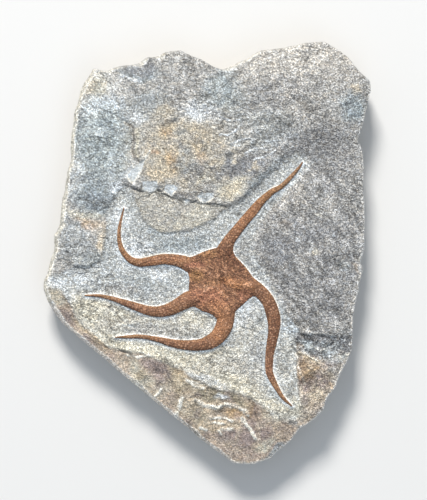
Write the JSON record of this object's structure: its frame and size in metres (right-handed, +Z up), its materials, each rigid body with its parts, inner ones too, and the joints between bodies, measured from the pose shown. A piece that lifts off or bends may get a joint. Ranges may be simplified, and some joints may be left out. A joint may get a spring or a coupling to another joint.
{
  "type": "fossil brittle star",
  "caption": "Fossil brittle star with a central disc and curling arms, lying in low relief on a loose slab of silty limestone.",
  "frame": {"origin": "centre of the underside of the slab's bounding box, on the surface it lies on", "axes": "+Z up out of the fossil face, +Y toward the slab's notched upper edge, +X to the right when looking down on the fossil with that edge at the top"},
  "size_m": [0.123, 0.159, 0.0189],
  "materials": {
    "limestone": "dull, finely grained grey limestone, weathered to buff and slate, with a paler abraded field round the star",
    "iron_stained_calcite": "dull rust-brown fossil calcite with fine plates and a few lighter orange patches"
  },
  "bodies": {
    "root": {"stone_slab": "limestone", "central_disc": "iron_stained_calcite", "arm_upper_right": "iron_stained_calcite", "arm_lower_right": "iron_stained_calcite", "arm_bottom": "iron_stained_calcite", "arm_lower_left": "iron_stained_calcite", "arm_upper_left": "iron_stained_calcite"}
  },
  "joints": []
}
